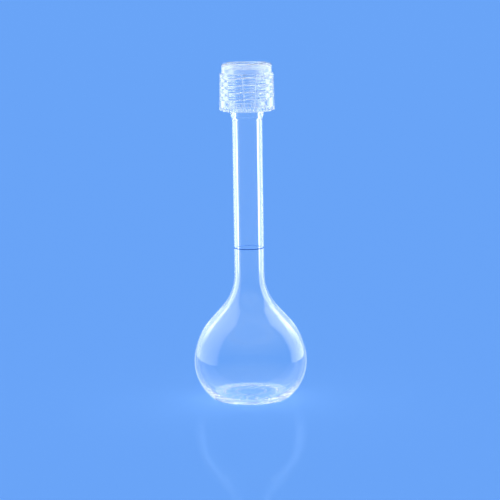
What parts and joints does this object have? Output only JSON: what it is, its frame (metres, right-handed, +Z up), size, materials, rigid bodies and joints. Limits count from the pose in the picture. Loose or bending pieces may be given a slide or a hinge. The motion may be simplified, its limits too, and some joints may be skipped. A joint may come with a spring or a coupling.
{
  "type": "volumetric flask",
  "caption": "Clear plastic volumetric flask: flat-bottomed round bulb, long narrow neck with a ring mark, and a ribbed translucent screw cap.",
  "frame": {"origin": "centre of the circle the flask stands on", "axes": "+Z up the axis of revolution from the base to the cap; -Y is the side seen in the picture"},
  "size_m": [0.0486, 0.0486, 0.145],
  "materials": {
    "clear_plastic": "clear, glossy",
    "ink": "printed line",
    "natural_pp": "milky translucent, satin",
    "liner": "milky, smooth"
  },
  "bodies": {
    "flask": {"flask_body": "clear_plastic", "ring_mark": "ink"},
    "disc": {"sealing_disc": "liner"},
    "cap": {"screw_cap": "natural_pp"}
  },
  "joints": [
    {"name": "cap_turn", "type": "hinge", "parent": "disc", "child": "cap", "pos_m": [0, 0, 0.1348], "axis": [0, 0, 1], "range_deg": [0, 2250]},
    {"name": "cap_lift", "type": "slide", "parent": "flask", "child": "disc", "axis": [0, 0, 1], "range_m": [0, 0.0188]}
  ],
  "couplings": [
    {"joint": "cap_lift", "follows": "cap_turn", "m_per_rad": 0.00047746}
  ]
}
